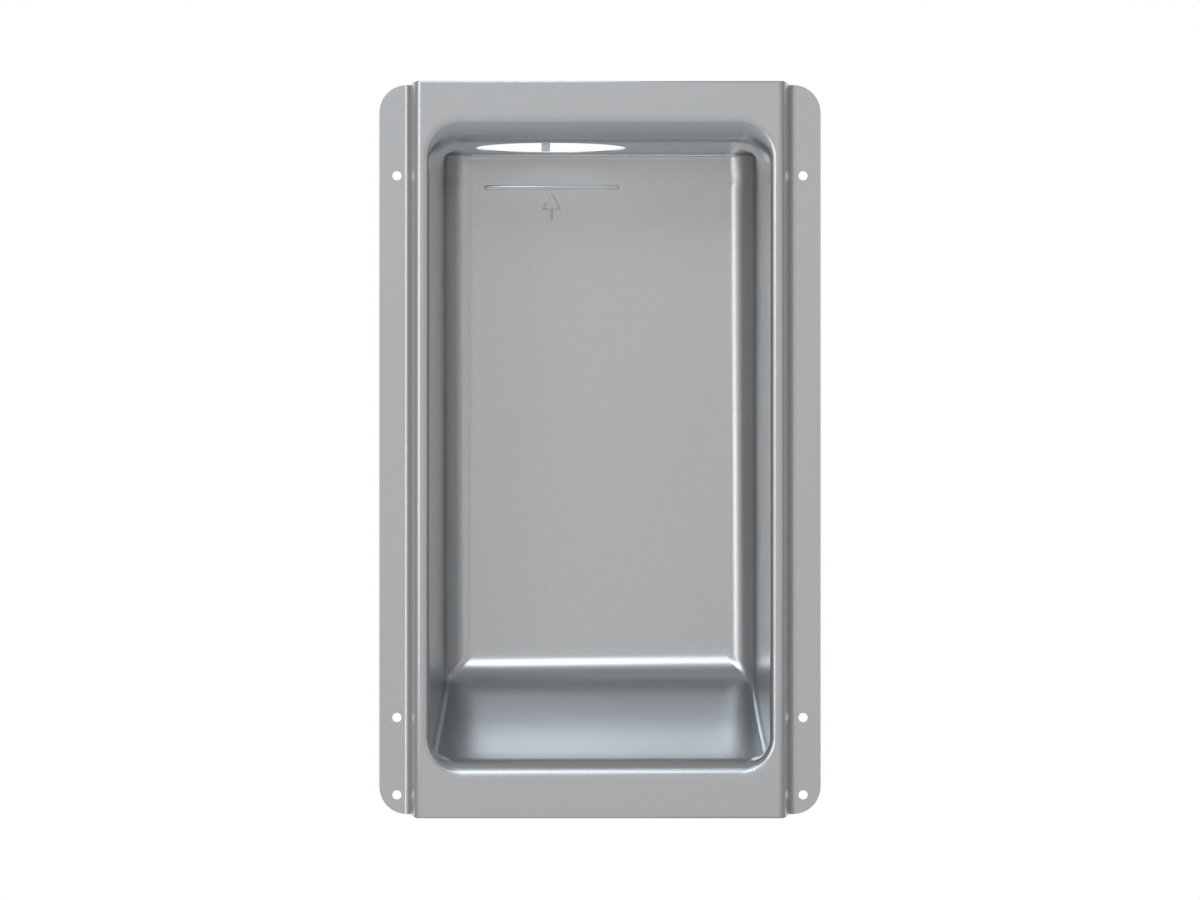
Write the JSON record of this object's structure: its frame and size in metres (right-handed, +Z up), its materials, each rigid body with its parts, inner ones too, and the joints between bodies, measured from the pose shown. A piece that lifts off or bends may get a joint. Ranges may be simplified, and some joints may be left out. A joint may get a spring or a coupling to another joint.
{
  "type": "recessed dryer vent box",
  "caption": "Deep-drawn sheet-steel wall box for a clothes dryer's exhaust: side stud flanges, raised face, tapered recess with a sloping floor and a round duct port in its roof.",
  "frame": {"origin": "centre of the four main screw holes on the back face of the side flanges", "axes": "+X right seen from the room, +Y into the wall, +Z up"},
  "size_m": [0.3048, 0.146, 0.5084],
  "materials": {
    "aluminised_steel": "satin aluminised sheet"
  },
  "bodies": {
    "root": {"vent_box": "aluminised_steel"}
  },
  "joints": []
}
